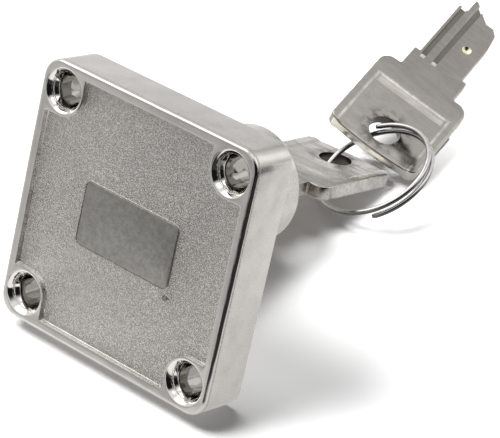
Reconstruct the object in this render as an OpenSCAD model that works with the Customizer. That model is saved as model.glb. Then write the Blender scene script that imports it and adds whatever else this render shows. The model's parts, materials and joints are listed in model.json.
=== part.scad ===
// Drawer lock: a flat square case with a round cylinder housing, a wafer
// cylinder, a square bolt, one key in the cylinder and a spare on a split ring.
//
// The lock is drawn in its own frame: the origin is where the cylinder's axis
// meets the mounting face, X runs to the right and Y down the case as seen
// from its back, and Z runs out of the mounting face along the cylinder. It
// then leans as it lies on a table, on the case's lower edge and the key's end.

/* [Case] */
// Side of the square case
case_side = 40; // [36:1:50]
// Thickness of the case
case_t = 8; // [7:0.5:12]
// Radius of the case's four upright corners
case_corner_r = 3.2; // [2:0.1:5]
// Rounding of the case's long edges
case_edge_r = 0.4; // [0.2:0.1:0.8]
// Thickness of the case's side walls
wall = 1.6; // [1.2:0.1:2.5]
// Thickness of the case's back, under its sunk panel
back_t = 1.1; // [0.8:0.1:2]
// Width of the flat rim round the sunk panel
rim = 1.55; // [1:0.05:2.5]
// Depth of the sunk panel
panel_depth = 0.9; // [0.3:0.1:1.2]
// Distance of the cylinder's axis from the middle of the case
axis_offset = 6.4; // [4:0.1:7]

/* [Screw bosses] */
// Distance of each screw hole from the case's two nearest sides
boss_in = 4.25; // [4:0.05:5]
// Radius of a boss
boss_r = 3.75; // [3.5:0.05:4.5]
// Diameter of the screw holes
screw_hole_d = 4.4; // [3:0.1:5]
// Diameter of the screw holes' countersink
screw_sink_d = 6.6; // [5:0.1:7.2]
// Depth of the screw holes' countersink
screw_sink_t = 1.6; // [1:0.1:2.5]

/* [Back face] */
// Width of the blank raised pad
pad_w = 17.8; // [10:0.2:20]
// Height of the pad across the face
pad_h = 9.8; // [6:0.2:14]
// How far the pad stands off the sunk panel
pad_rise = 0.2; // [0.1:0.05:0.4]
// Corner radius of the pad
pad_corner_r = 1; // [0.4:0.1:2]
// Diameter of the small ejector pip
pip_d = 0.9; // [0.5:0.1:1.5]

/* [Cylinder housing] */
// Outer diameter of the cylinder housing
barrel_d = 18; // [17.5:0.1:20]
// Length of the cylinder housing from the mounting face
barrel_l = 29; // [28:0.5:32]
// Rounding of the housing's front edge
barrel_edge_r = 0.8; // [0.3:0.1:1]
// Thickness of the flange that closes the case
flange_t = 1.6; // [1.2:0.1:2]
// Thickness of the web that holds the plug
web_t = 1.6; // [1.2:0.1:2.5]
// Gap round the flange and its cut-outs
flange_gap = 0.1; // [0.05:0.05:0.2]
// How far the wafer channels reach from the axis
channel_reach = 7.7; // [7.5:0.05:7.9]

/* [Rivets] */
// Distance of each rivet from the middle of the case, sideways
rivet_x = 7; // [6:0.5:8]
// Distance of each rivet from the case's upper or lower side
rivet_in = 4.7; // [4.4:0.1:6]
// Diameter of the posts in the case
post_d = 4.4; // [4:0.1:5]
// Diameter of a rivet's shank
rivet_d = 2; // [1.5:0.1:2.4]
// Diameter of a rivet's sunk head
rivet_head_d = 3.6; // [3:0.1:3.8]
// How deep a rivet reaches behind the flange
rivet_depth = 3.2; // [2:0.1:4]

/* [Plug] */
// Diameter of the plug
plug_d = 12.5; // [12.3:0.1:13]
// Running gap round the plug, its neck and its head
run_gap = 0.05; // [0.03:0.01:0.08]
// Diameter of the plug's head
head_d = 14.4; // [14:0.1:14.8]
// Length of the plug's head
head_t = 1.55; // [1.2:0.05:2]
// How far the head stands proud of the housing
head_proud = 0.6; // [0.3:0.1:1.2]
// Diameter of the plug's neck, in the web
neck_d = 8.8; // [8:0.1:9.5]
// Side of the square tail that carries the cam
tail_side = 4; // [3.5:0.1:4.4]
// Gap round the square tail
tail_gap = 0.05; // [0.03:0.01:0.1]

/* [Wafers] */
// Spacing of the wafers along the plug
wafer_pitch = 2.1; // [2:0.05:2.2]
// Thickness of a wafer
wafer_t = 1.2; // [1:0.05:1.3]
// Width of a wafer across its spring travel
wafer_h = 6.2; // [5.6:0.1:6.6]
// How far a wafer springs out
wafer_travel = 0.8; // [0.5:0.1:1]
// Gap of a wafer in its slot
wafer_gap = 0.05; // [0.03:0.01:0.08]
// Gap between the plug's head and the first wafer slot
wafer_lead = 0.45; // [0.3:0.05:0.8]
// Width of the lug that the spring pushes
lug_w = 1; // [0.8:0.1:1.2]
// Height of the lug beside the wafer
lug_h = 1.5; // [1.3:0.1:1.6]
// Wire diameter of a wafer spring
spring_wire = 0.3; // [0.2:0.02:0.3]
// Outer diameter of a wafer spring
spring_d = 1.1; // [0.9:0.1:1.2]
// Length of a wafer spring
spring_l = 2.9; // [2.4:0.1:3]
// Turns of a wafer spring
spring_turns = 3.5; // [2.5:0.5:3.5]

/* [Cam and bolt] */
// Diameter of the cam disc
cam_d = 12.4; // [12:0.1:12.8]
// Thickness of the cam disc
cam_t = 1.45; // [1.3:0.05:1.6]
// Distance of the cam's pin from the axis
pin_at = 4.5; // [4.4:0.05:4.6]
// Diameter of the cam's pin
pin_d = 3; // [2.4:0.1:3]
// Diameter of the cam screw's head
cam_screw_head_d = 5.6; // [5.2:0.1:5.6]
// Thickness of the cam screw's head
cam_screw_head_t = 0.6; // [0.5:0.05:0.8]
// Diameter of the cam screw's shank
cam_screw_d = 2; // [1.6:0.1:2.2]
// Length of the cam screw's shank
cam_screw_l = 7; // [4:0.5:9]
// Width of the bolt
bolt_w = 17; // [14:0.5:20]
// Gap round the bolt in the case
bolt_gap = 0.1; // [0.05:0.05:0.2]
// Length of the bolt behind the cylinder's axis
bolt_back = 10.4; // [9.5:0.1:12]
// Thickness of the walls that guide the bolt
guide_wall = 1.4; // [1:0.1:2]
// Chamfer on the bolt's outer corners
bolt_chamfer = 0.6; // [0.2:0.1:1.5]

/* [Keys] */
// Width of a key's bow
bow_w = 16.6; // [14:0.1:20]
// Length of a key's bow, from its crowned end to its shoulders
bow_l = 17.9; // [15:0.1:22]
// How far the bow's end is crowned
bow_crown = 0.7; // [0.3:0.1:1.5]
// Thickness of a key
key_t = 2.3; // [2:0.1:2.6]
// Diameter of the bow's hole
bow_hole_d = 5.2; // [4.8:0.1:5.6]
// Distance of the bow's hole from its crowned end
bow_hole_at = 4.6; // [4.2:0.1:5]
// Corner radius at the bow's crowned end
bow_end_r = 1.3; // [0.8:0.1:2]
// Corner radius at the bow's shoulders
bow_shoulder_r = 2; // [1:0.1:3]
// Width of the border beside the bow's shallow panel
bow_border = 1.4; // [0.8:0.1:2]
// Width of the border between the panel and the shoulders
bow_shoulder_border = 4.4; // [2:0.1:6]
// Depth of the bow's shallow panel
bow_panel_depth = 0.25; // [0.1:0.05:0.35]
// Width of the panel's slopes at its sides
side_slope_w = 0.7; // [0.3:0.1:1.2]
// Width of the panel's slope at the shoulders
shoulder_slope_w = 1.5; // [0.5:0.1:2]
// Width of the neck between bow and blade
key_neck_w = 10.3; // [9:0.1:12]
// Length of the neck
key_neck_l = 4.4; // [3:0.1:5]
// Gap between the plug's face and the neck of the key in it
key_stand = 1.6; // [1:0.1:2.5]
// Width of the blade
blade_w = 8.3; // [7.6:0.1:8.6]
// Length of neck and blade together, without the tooth at the tip
blade_reach = 17.4; // [16.8:0.1:18]
// Distance of a key's outer groove from the blade's middle
outer_groove_at = 3.2; // [3.1:0.05:3.4]
// Distance of a key's inner groove from the blade's middle
inner_groove_at = 0.95; // [0.9:0.05:1.5]
// Width of the blade's grooves
groove_w = 0.9; // [0.7:0.05:1]
// Depth of the blade's grooves
groove_depth = 0.5; // [0.3:0.05:0.6]
// How far the grooves reach into the neck, and the length of their run-out
groove_run = 1.2; // [0.5:0.1:2]
// Length of the tooth at the blade's tip
tooth_l = 2.9; // [2:0.1:3.2]
// Distance of the tooth's straight flank from the blade's middle
tooth_at = 2.5; // [2:0.1:3]
// Width of the tooth at its foot
tooth_w = 3.8; // [2.5:0.1:4.2]
// Width of the tooth at its point
tooth_point_w = 0.4; // [0.2:0.1:0.8]
// Length of the lead-in on the blade's other edge
lead_l = 4; // [2:0.1:5]
// How far the lead-in narrows the tip
lead_w = 1.5; // [0.8:0.1:1.8]
// Distance of the bitting dimple from the blade's end
dimple_from_end = 7.2; // [5:0.1:9]
// Distance of the dimple from the blade's middle
dimple_side = 1.6; // [1:0.1:2]
// Diameter of the dimple
dimple_d = 1.6; // [1:0.1:2]
// Depth of the dimple
dimple_depth = 0.5; // [0.3:0.1:0.6]
// Gap round the blade in the keyway
key_gap = 0.15; // [0.1:0.01:0.2]

/* [Split ring] */
// Radius of the ring, to the middle of its wire
ring_r = 9.22; // [8.8:0.02:9.6]
// Diameter of the ring's wire
ring_wire_d = 0.85; // [0.7:0.01:0.9]
// Gap between the ring's turns
ring_gap = 0.43; // [0.42:0.01:0.6]
// Turns of wire in the ring
ring_turns = 1.5; // [1.3:0.1:1.8]

/* [Hidden] */
$fn = 64;
eps = 0.01;

nickel = [0.80, 0.79, 0.75];
zinc = [0.74, 0.73, 0.69];
brass = [0.80, 0.68, 0.42];
steel = [0.62, 0.63, 0.65];

// Case
half = case_side / 2;
panel_half = half - rim;
panel_z = -case_t + panel_depth;
inner_half = half - wall;
inner_r = max(case_corner_r - wall, 0.5);
floor_z = panel_z + back_t;
boss_at = half - boss_in;
boss_edge = boss_at - boss_r;
rivet_y = half - rivet_in;
pip_at = [8.9, 5.9];

// Cylinder
bore_d = plug_d + 2 * run_gap;
plug_z0 = web_t + run_gap;
head_z0 = barrel_l + head_proud - head_t;
plug_z1 = barrel_l + head_proud;
slot_t = wafer_t + 2 * wafer_gap;
slot_h = wafer_h + 2 * wafer_gap;
wafer_count = 5;
first_wafer_z = head_z0 - wafer_lead - slot_t / 2;
last_wafer_z = first_wafer_z - (wafer_count - 1) * wafer_pitch;
wafer_d = plug_d - 0.1;
channel_z0 = last_wafer_z - slot_t / 2 - 0.3;
channel_z1 = head_z0 - run_gap;
lug_top = wafer_h / 2 + lug_h;
pocket_top = lug_top + 0.1;
spring_y = (slot_h / 2 + pocket_top) / 2;
pocket_back = -lug_w / 2 - spring_l - wafer_gap;

// Cam and bolt
cam_z1 = -0.1;
cam_z0 = cam_z1 - cam_t;
tail_z = cam_z0 + cam_screw_head_t;
half_turn_throw = 2 * pin_at;
bolt_z1 = -flange_t - 0.15;
bolt_z0 = floor_z + bolt_gap;
bolt_left = axis_offset - half;
pin_z = bolt_z0 + 0.1;
// A steady drive leaves an eccentric pin by up to 0.2105 of its radius.
pin_stray = 0.2105 * pin_at;
pin_gap = 0.3;
slot_half = pin_d / 2 + pin_stray + 0.05;

// Keys
key_plane_half = key_t / 2;
key_neck_z = plug_z1 + key_stand;
key_end_z = key_neck_z + key_neck_l + bow_l;
key_tip_z = key_end_z - bow_l - blade_reach - tooth_l;
keyway_z = key_tip_z - key_gap;
crown_r = (pow(bow_w / 2, 2) + pow(bow_crown, 2)) / (2 * bow_crown);
key_length = bow_l + blade_reach;
// The far key travel that frees the blade, and each wafer's share of it
key_travel = 18;
wafer_share = wafer_travel / key_travel;
first_pass = wafer_share * (first_wafer_z + wafer_t / 2 - key_tip_z);

// How the lock lies: on the case's front lower edge and the key's end
lean = atan2(half - key_plane_half, key_end_z);

// Split ring: where its wire passes the two bow holes, and how it lies
ring_pitch = ring_wire_d + ring_gap;
ring_turn = [21.04, 8.06, -54.51];
lock_key_at = 239.5;
spare_key_at = 174.7;
lock_key_inset = 1.0294 * ring_wire_d;
spare_key_inset = 0.6565 * ring_wire_d;
lock_key_side = -0.1671 * ring_wire_d;
spare_key_side = 0.2024 * ring_wire_d;
spare_turn = [40.55, 8.48, 154.55];
wire_steps = 24;
wire_sides = 6;
curl_steps = 8;

// Helpers shared by the pieces

// Rectangle with round corners, centred
module round_rect(w, h, r) {
    square([w - 2 * r, h], center = true);
    square([w, h - 2 * r], center = true);
    for (sx = [-1, 1], sy = [-1, 1])
        translate([sx * (w / 2 - r), sy * (h / 2 - r)]) circle(r);
}

// Slab with round upright corners and rounded long edges, on z = 0
module soft_slab(side, t, corner_r, edge_r) {
    run = side - 2 * corner_r;
    at = run / 2;
    for (turn = [0, 90])
        rotate([0, 0, turn]) translate([0, -at, t / 2]) rotate([-90, 0, 0])
            linear_extrude(run) round_rect(side, t, edge_r);
    for (sx = [-1, 1], sy = [-1, 1]) translate([sx * at, sy * at, 0])
        rotate_extrude() intersection() {
            translate([0, t / 2]) round_rect(2 * corner_r, t, edge_r);
            square([corner_r, t]);
        }
}

// The lock's frame, leaning as it lies
module as_it_lies() rotate([-90 - lean, 0, 0]) children();

// Middle of the case
module case_middle() translate([axis_offset, 0, 0]) children();

// Copies at the four corners of a rectangle round the origin, mirrored
module at_corners(x, y)
    for (sx = [0, 1], sy = [0, 1])
        mirror([sx, 0, 0]) mirror([0, sy, 0]) translate([x, y, 0]) children();

// Outline of one corner boss and its fill out to the rim
module boss_outline(grow = 0) {
    translate([boss_at, boss_at]) circle(boss_r + grow);
    translate([boss_edge - grow, boss_at])
        square([half - boss_edge + grow, boss_in]);
    translate([boss_at, boss_edge - grow])
        square([boss_in, half - boss_edge + grow]);
}

// Square with round corners, less the four bosses
module boss_free_square(h, r, grow = 0) difference() {
    round_rect(2 * h, 2 * h, r);
    at_corners(0, 0) boss_outline(grow);
}

// Tube of round wire along a rising circle, as one closed skin
module coil(r, pitch, turns, wire_r, steps) {
    count = ceil(turns * steps);
    rings = [for (i = [0:count]) let (a = 360 * turns * i / count)
        wire_ring(r, pitch, a, turns, wire_r)];
    last = count * wire_sides;
    faces = concat(
        [[for (k = [0:wire_sides - 1]) k]],
        [[for (k = [wire_sides - 1:-1:0]) last + k]],
        [for (i = [0:count - 1], k = [0:wire_sides - 1]) let (
            n = (k + 1) % wire_sides, a = i * wire_sides, b = a + wire_sides)
            [a + k, b + k, a + n]],
        [for (i = [0:count - 1], k = [0:wire_sides - 1]) let (
            n = (k + 1) % wire_sides, a = i * wire_sides, b = a + wire_sides)
            [b + k, b + n, a + n]]);
    polyhedron([for (ring = rings, p = ring) p], faces);
}

// Middle of the wire at angle a, with the coil's middle at the origin
function wire_at(r, pitch, a, turns) =
    [r * cos(a), r * sin(a), pitch * (a / 360 - turns / 2)];

// Points round the wire at angle a
function wire_ring(r, pitch, a, turns, wire_r) = let (
    rise = pitch / 360 * 180 / PI / r,
    along = [-sin(a), cos(a), rise] / norm([1, rise]),
    out = [cos(a), sin(a), 0],
    side = cross(along, out))
    [for (k = [0:wire_sides - 1]) let (t = 360 * k / wire_sides)
        wire_at(r, pitch, a, turns) + wire_r * (cos(t) * out - sin(t) * side)];

// Least gap between a coil's turns, measured on points of its wire
function least_gap(r, pitch, turns, wire_r, steps) = min([
    for (i = [0:steps * turns], j = [i + steps / 2:steps * turns])
        norm(wire_at(r, pitch, 360 * i / steps, turns)
             - wire_at(r, pitch, 360 * j / steps, turns)) - 2 * wire_r]);

// Case

module case() color(nickel) as_it_lies() case_middle() difference() {
    union() {
        difference() {
            translate([0, 0, -case_t])
                soft_slab(case_side, case_t, case_corner_r, case_edge_r);
            sunk_panel();
            translate([0, 0, floor_z]) linear_extrude(-floor_z + 1)
                boss_free_square(inner_half, inner_r);
            translate([-half - 1, -bolt_w / 2 - bolt_gap, floor_z])
                cube([wall + 2, bolt_w + 2 * bolt_gap, -flange_t - floor_z]);
        }
        at_corners(rivet_x, rivet_y) translate([0, 0, floor_z - eps])
            cylinder(d = post_d, h = -flange_t - floor_z + eps);
        translate([-axis_offset, 0, 0]) bolt_guide();
        translate([pip_at.x, pip_at.y, panel_z - pad_rise])
            cylinder(d = pip_d, h = pad_rise + eps);
    }
    at_corners(boss_at, boss_at) {
        translate([0, 0, -case_t - 1])
            cylinder(d = screw_hole_d, h = case_t + 2);
        translate([0, 0, -case_t - eps])
            cylinder(d1 = screw_sink_d, d2 = screw_hole_d, h = screw_sink_t);
    }
    at_corners(rivet_x, rivet_y) translate([0, 0, -flange_t - rivet_depth - 0.1])
        cylinder(d = rivet_d + 0.1, h = rivet_depth + 1, $fn = 32);
}

// What is cast away from the back: the panel, round the bosses and the pad
module sunk_panel() translate([0, 0, -case_t - 1]) difference() {
    linear_extrude(panel_depth + 1)
        boss_free_square(panel_half, max(case_corner_r - rim, 0.4));
    translate([0, 0, panel_depth + 1 - pad_rise]) linear_extrude(pad_rise + 1)
        round_rect(pad_w, pad_h, pad_corner_r);
}

// Walls that guide the bolt, and the stop behind it
module bolt_guide() {
    guide_l = bolt_back + bolt_gap - (bolt_left + wall) + eps;
    guide_h = -flange_t - floor_z + eps;
    for (side = [-1, 1])
        translate([bolt_left + wall - eps,
                   side * (bolt_w / 2 + bolt_gap + guide_wall / 2)
                       - guide_wall / 2, floor_z - eps])
            cube([guide_l + guide_wall, guide_wall, guide_h]);
    translate([bolt_back + bolt_gap, -bolt_w / 2 - bolt_gap - eps, floor_z - eps])
        cube([guide_wall, bolt_w + 2 * bolt_gap + 2 * eps, guide_h]);
}

// Cylinder housing

module barrel_housing() color(zinc) as_it_lies() difference() {
    union() {
        case_middle() translate([0, 0, -flange_t]) linear_extrude(flange_t)
            boss_free_square(inner_half - flange_gap, inner_r, flange_gap);
        translate([0, 0, -flange_t]) rotate_extrude() intersection() {
            translate([0, (barrel_l + flange_t) / 2])
                round_rect(barrel_d, barrel_l + flange_t, barrel_edge_r);
            square([barrel_d, barrel_l + flange_t]);
        }
    }
    translate([0, 0, -flange_t - 1]) cylinder(d = cam_d + 0.2, h = flange_t + 1);
    translate([0, 0, -1]) cylinder(d = neck_d + 2 * run_gap, h = web_t + 2);
    translate([0, 0, web_t]) cylinder(d = bore_d, h = barrel_l);
    translate([0, 0, head_z0 - run_gap])
        cylinder(d = head_d + 2 * run_gap, h = barrel_l);
    translate([-channel_reach, -slot_h / 2, channel_z0])
        cube([2 * channel_reach, slot_h, channel_z1 - channel_z0]);
    case_middle() at_corners(rivet_x, rivet_y) {
        translate([0, 0, -flange_t - 1])
            cylinder(d = rivet_d + 0.1, h = flange_t + 2, $fn = 32);
        translate([0, 0, -rivet_cone()])
            cylinder(d1 = rivet_d + 0.1, d2 = rivet_head_d + 0.1,
                     h = rivet_cone() + eps, $fn = 32);
    }
}

// Depth of a rivet's sunk head
function rivet_cone() = (rivet_head_d - rivet_d) / 2;

module flange_rivets() color(steel) as_it_lies() case_middle()
    at_corners(rivet_x, rivet_y) {
        translate([0, 0, -flange_t - rivet_depth])
            cylinder(d = rivet_d, h = flange_t + rivet_depth, $fn = 32);
        translate([0, 0, -rivet_cone()])
            cylinder(d1 = rivet_d, d2 = rivet_head_d, h = rivet_cone(), $fn = 32);
    }

// Plug and wafers

// Wafers take turns: even ones spring to the right, odd ones to the left
module facing(i) mirror([i % 2, 0, 0]) children();
// Place of wafer i along the axis
function wafer_z(i) = first_wafer_z - (i - 1) * wafer_pitch;

// Cross-section of the blade, grown by a gap for the keyway
module blade_section(gap = 0) {
    w = blade_w / 2;
    t = key_t / 2;
    difference() {
        square([2 * (w + gap), 2 * (t + gap)], center = true);
        for (turn = [0, 180], at = [outer_groove_at, inner_groove_at])
            rotate([0, 0, turn])
                translate([at - groove_w / 2 + gap, t - groove_depth + gap])
                square([groove_w - 2 * gap, groove_depth + 1]);
    }
}

module plug() color(brass) as_it_lies() difference() {
    union() {
        translate([0, 0, plug_z0]) cylinder(d = plug_d, h = head_z0 - plug_z0 + eps);
        translate([0, 0, head_z0]) cylinder(d = head_d, h = head_t);
        translate([0, 0, cam_z1 + 0.15])
            cylinder(d = neck_d, h = plug_z0 - cam_z1 - 0.15 + eps);
        translate([-tail_side / 2, -tail_side / 2, tail_z])
            cube([tail_side, tail_side, plug_z0 - tail_z]);
    }
    translate([0, 0, tail_z - 1])
        cylinder(d = cam_screw_d + 0.05, h = cam_screw_l + 1.1, $fn = 32);
    translate([0, 0, keyway_z]) linear_extrude(plug_z1)
        mirror([0, 1]) blade_section(key_gap);
    for (i = [1:wafer_count]) translate([0, 0, wafer_z(i)]) {
        cube([2 * plug_d, slot_h, slot_t], center = true);
        facing(i) translate([pocket_back, 0, -slot_t / 2])
            cube([plug_d, pocket_top, slot_t]);
    }
}

// One wafer, its window clear of the blade and its lug beside the spring
module wafer(i) color(brass) as_it_lies() facing(i)
    translate([0, 0, wafer_z(i) - wafer_t / 2])
    linear_extrude(wafer_t) difference() {
        union() {
            intersection() {
                circle(d = wafer_d);
                square([wafer_d + 1, wafer_h], center = true);
            }
            translate([-lug_w / 2, 0]) square([lug_w, lug_top]);
        }
        translate([-blade_w / 2 - first_pass - 0.06, -key_t / 2 - 0.2])
            square([blade_w + first_pass + 0.16, key_t + 0.4]);
    }

// One wafer's spring, between the pocket's back and the lug
module wafer_spring(i) color(steel) as_it_lies() facing(i)
    translate([-(lug_w + spring_l) / 2, spring_y, wafer_z(i)]) rotate([0, 90, 0])
    coil((spring_d - spring_wire) / 2, (spring_l - spring_wire) / spring_turns,
         spring_turns, spring_wire / 2, curl_steps);

// Cam and bolt

module drive_cam() color(steel) as_it_lies() difference() {
    union() {
        translate([0, 0, cam_z0]) cylinder(d = cam_d, h = cam_t);
        translate([pin_at, 0, pin_z]) cylinder(d = pin_d, h = cam_z1 - pin_z);
    }
    cam_hole = tail_side + 2 * tail_gap;
    translate([-cam_hole / 2, -cam_hole / 2, cam_z0 - 1])
        cube([cam_hole, cam_hole, cam_t + 2]);
    difference() {
        translate([0, 0, cam_z0 - 1])
            cylinder(d = cam_screw_head_d + 0.2, h = cam_screw_head_t + 1);
        translate([pin_at, 0, pin_z]) cylinder(d = pin_d, h = cam_z1 - pin_z);
    }
}

module cam_screw() color(steel) as_it_lies() difference() {
    union() {
        translate([0, 0, cam_z0])
            cylinder(d = cam_screw_head_d, h = cam_screw_head_t);
        translate([0, 0, cam_z0]) cylinder(d = cam_screw_d,
            h = cam_screw_head_t + cam_screw_l, $fn = 32);
    }
    for (turn = [0, 90]) rotate([0, 0, turn])
        translate([-1.4, -0.25, cam_z0 - eps]) cube([2.8, 0.5, 0.4]);
}

module bolt() color(steel) as_it_lies() translate([0, 0, bolt_z0])
    linear_extrude(bolt_z1 - bolt_z0) difference() {
        polygon([[bolt_left, -bolt_w / 2 + bolt_chamfer],
                 [bolt_left + bolt_chamfer, -bolt_w / 2],
                 [bolt_back, -bolt_w / 2], [bolt_back, bolt_w / 2],
                 [bolt_left + bolt_chamfer, bolt_w / 2],
                 [bolt_left, bolt_w / 2 - bolt_chamfer]]);
        slot_l = pin_at + pin_d + 2 * pin_gap;
        translate([pin_at, slot_l / 2 - pin_d / 2 - pin_gap])
            round_rect(2 * slot_half, slot_l, 0.8);
    }

// Keys and split ring

// What a rounding takes off the corner between two lines: the circle at
// middle meets them at from and to, and past is the way out of the corner
module corner_waste(middle, r, from, to, past) difference() {
    polygon([from, [from.x + past.x, from.y], [from.x + past.x, to.y + past.y],
             [to.x, to.y + past.y], to]);
    translate(middle) circle(r);
}

// Flat outline of a key's bow: X runs from its crowned end to its shoulders
module bow_outline() {
    w = bow_w / 2;
    end_y = w - bow_end_r;
    end_x = crown_r - sqrt(pow(crown_r - bow_end_r, 2) - pow(end_y, 2));
    meet = [crown_r, 0]
        + ([end_x, end_y] - [crown_r, 0]) * crown_r / (crown_r - bow_end_r);
    difference() {
        intersection() {
            translate([crown_r, 0]) circle(crown_r, $fn = 360);
            translate([0, -w]) square([bow_l, 2 * w]);
        }
        for (side = [0, 1]) mirror([0, side]) {
            corner_waste([end_x, end_y], bow_end_r, meet, [end_x, w], [-2, 1]);
            corner_waste([bow_l - bow_shoulder_r, w - bow_shoulder_r],
                         bow_shoulder_r, [bow_l, w - bow_shoulder_r],
                         [bow_l - bow_shoulder_r, w], [1, 1]);
        }
    }
}

// What is pressed out of the bow's upper face: a shallow panel that runs out
// at the crowned end, with a slope at the shoulders and at each side
module bow_panel() {
    side_y = bow_w / 2 - bow_border;
    intersection() {
        translate([-1, -bow_w, key_t / 2 - bow_panel_depth])
            cube([bow_l, 2 * bow_w, key_t]);
        translate([bow_l - bow_shoulder_border, -bow_w, key_t / 2])
            rotate([0, -atan2(bow_panel_depth, shoulder_slope_w), 0])
            translate([-2 * bow_l, 0, 0]) cube([2 * bow_l, 2 * bow_w, bow_l]);
        for (side = [0, 1]) mirror([0, side, 0])
            translate([-bow_l, side_y, key_t / 2])
            rotate([atan2(bow_panel_depth, side_slope_w), 0, 0])
            translate([0, -2 * bow_w, 0]) cube([3 * bow_l, 2 * bow_w, bow_w]);
    }
}

// One groove in the blade's upper face, with its run-out in the neck
module blade_groove(at) {
    x0 = bow_l + key_neck_l - groove_run;
    z0 = key_t / 2 - groove_depth;
    translate([0, at + groove_w / 2, 0]) rotate([90, 0, 0]) linear_extrude(groove_w)
        polygon([[x0, key_t], [x0, key_t / 2], [x0 + groove_run, z0],
                 [key_length + tooth_l + 1, z0], [key_length + tooth_l + 1, key_t]]);
}

// Outline of the blade: its straight part, the tooth and the lead-in
module blade_outline() {
    w = blade_w / 2;
    end_x = key_length;
    polygon([[bow_l - eps, w], [end_x, w], [end_x, tooth_at],
             [end_x + tooth_l, tooth_at], [end_x + tooth_l, tooth_at - tooth_point_w],
             [end_x, tooth_at - tooth_w], [end_x, lead_w - w],
             [end_x - 0.3 * lead_l, 0.3 * lead_w - w], [end_x - lead_l, -w],
             [bow_l - eps, -w]]);
}

// A key: X from its crowned end to its tip, Y across, Z out of its upper face
module key() difference() {
    union() {
        translate([0, 0, -key_t / 2]) linear_extrude(key_t) bow_outline();
        translate([bow_l - eps, -key_neck_w / 2, -key_t / 2])
            cube([key_neck_l + eps, key_neck_w, key_t]);
        translate([0, 0, -key_t / 2]) linear_extrude(key_t) blade_outline();
    }
    translate([bow_hole_at, 0, -key_t])
        cylinder(d = bow_hole_d, h = 2 * key_t);
    for (turn = [0, 180]) rotate([turn, 0, 0]) {
        bow_panel();
        for (at = [outer_groove_at, inner_groove_at]) blade_groove(at);
    }
    translate([key_length - dimple_from_end, -dimple_side, key_t / 2 - dimple_depth])
        cylinder(d1 = dimple_d / 4, d2 = dimple_d, h = dimple_depth + eps, $fn = 32);
}

module key_in_lock() color(nickel) as_it_lies()
    translate([0, 0, key_end_z]) rotate([90, 90, 0]) key();

// Where the wire passes the hole of a key, seen from the ring's middle
function wire_pass(at, inset, side) =
    let (p = wire_at(ring_r - inset, ring_pitch, at, ring_turns))
    [p.x, p.y, p.z + side];

// The ring's frame: its wire passes the hole of the key in the lock
module on_ring() {
    as_it_lies() translate([0, 0, key_end_z - bow_hole_at])
        rotate([90 + lean, 0, 0]) rotate(ring_turn)
        translate(-wire_pass(lock_key_at, lock_key_inset, lock_key_side))
        children();
}

module key_ring() color(steel) on_ring()
    coil(ring_r, ring_pitch, ring_turns, ring_wire_d / 2, wire_steps);

module spare_key() color(nickel) on_ring()
    translate(wire_pass(spare_key_at, spare_key_inset, spare_key_side))
    rotate(spare_turn) translate([-bow_hole_at, 0, 0]) key();

echo(ring_least_gap = least_gap(ring_r, ring_pitch, ring_turns,
                                ring_wire_d / 2, wire_steps));

case();
barrel_housing();
flange_rivets();
plug();
drive_cam();
cam_screw();
bolt();
wafer(1);  // wafer_1
wafer(2);  // wafer_2
wafer(3);  // wafer_3
wafer(4);  // wafer_4
wafer(5);  // wafer_5
wafer_spring(1);  // wafer_spring_1
wafer_spring(2);  // wafer_spring_2
wafer_spring(3);  // wafer_spring_3
wafer_spring(4);  // wafer_spring_4
wafer_spring(5);  // wafer_spring_5
key_in_lock();
key_ring();
spare_key();
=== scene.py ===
"""Dresses a drawer lock: nickel-plated case and cylinder, two keys and a split ring."""
import json
import logging
import math
from collections.abc import Callable
from dataclasses import dataclass, field
from enum import Enum

import bmesh
import bpy
import numpy as np
from mathutils import Matrix, Vector

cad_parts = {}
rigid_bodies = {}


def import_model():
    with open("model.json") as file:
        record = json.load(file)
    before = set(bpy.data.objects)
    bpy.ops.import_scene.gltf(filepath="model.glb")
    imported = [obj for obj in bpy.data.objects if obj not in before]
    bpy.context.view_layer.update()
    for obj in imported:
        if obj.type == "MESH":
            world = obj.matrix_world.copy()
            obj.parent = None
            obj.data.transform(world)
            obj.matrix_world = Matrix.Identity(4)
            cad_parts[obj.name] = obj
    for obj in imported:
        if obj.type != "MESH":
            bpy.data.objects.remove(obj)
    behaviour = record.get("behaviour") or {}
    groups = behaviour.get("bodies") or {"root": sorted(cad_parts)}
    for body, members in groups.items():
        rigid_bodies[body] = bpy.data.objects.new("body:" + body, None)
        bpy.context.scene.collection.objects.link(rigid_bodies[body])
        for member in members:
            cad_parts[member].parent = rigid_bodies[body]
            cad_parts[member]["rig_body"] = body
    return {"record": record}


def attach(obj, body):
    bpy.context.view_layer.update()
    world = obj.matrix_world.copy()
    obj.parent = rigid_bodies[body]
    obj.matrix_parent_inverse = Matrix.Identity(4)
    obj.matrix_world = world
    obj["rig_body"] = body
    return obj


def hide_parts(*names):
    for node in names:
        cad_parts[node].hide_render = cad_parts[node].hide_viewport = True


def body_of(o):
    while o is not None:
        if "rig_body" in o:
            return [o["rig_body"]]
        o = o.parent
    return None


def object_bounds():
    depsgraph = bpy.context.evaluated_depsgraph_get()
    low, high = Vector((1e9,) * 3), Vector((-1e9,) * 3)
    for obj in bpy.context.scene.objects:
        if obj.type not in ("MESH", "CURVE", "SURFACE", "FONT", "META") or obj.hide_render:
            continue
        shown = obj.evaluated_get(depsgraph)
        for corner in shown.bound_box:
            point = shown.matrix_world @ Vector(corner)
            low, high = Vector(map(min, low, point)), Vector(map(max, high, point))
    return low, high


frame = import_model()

LOG = logging.getLogger("drawer_lock")
CAD_LOW, CAD_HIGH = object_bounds()
MM = 0.001
WELD = 0.0005 * MM

Array = np.ndarray
Colour = tuple[float, float, float]
Triple = tuple[float, float, float]
Span = tuple[float, float]
Socket = bpy.types.NodeSocket
Value = Socket | float
Paint = Socket | Colour
Weigher = Callable[[bmesh.types.BMEdge], float]
Shaper = Callable[[bmesh.types.BMesh], None]


# Where things are


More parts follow.
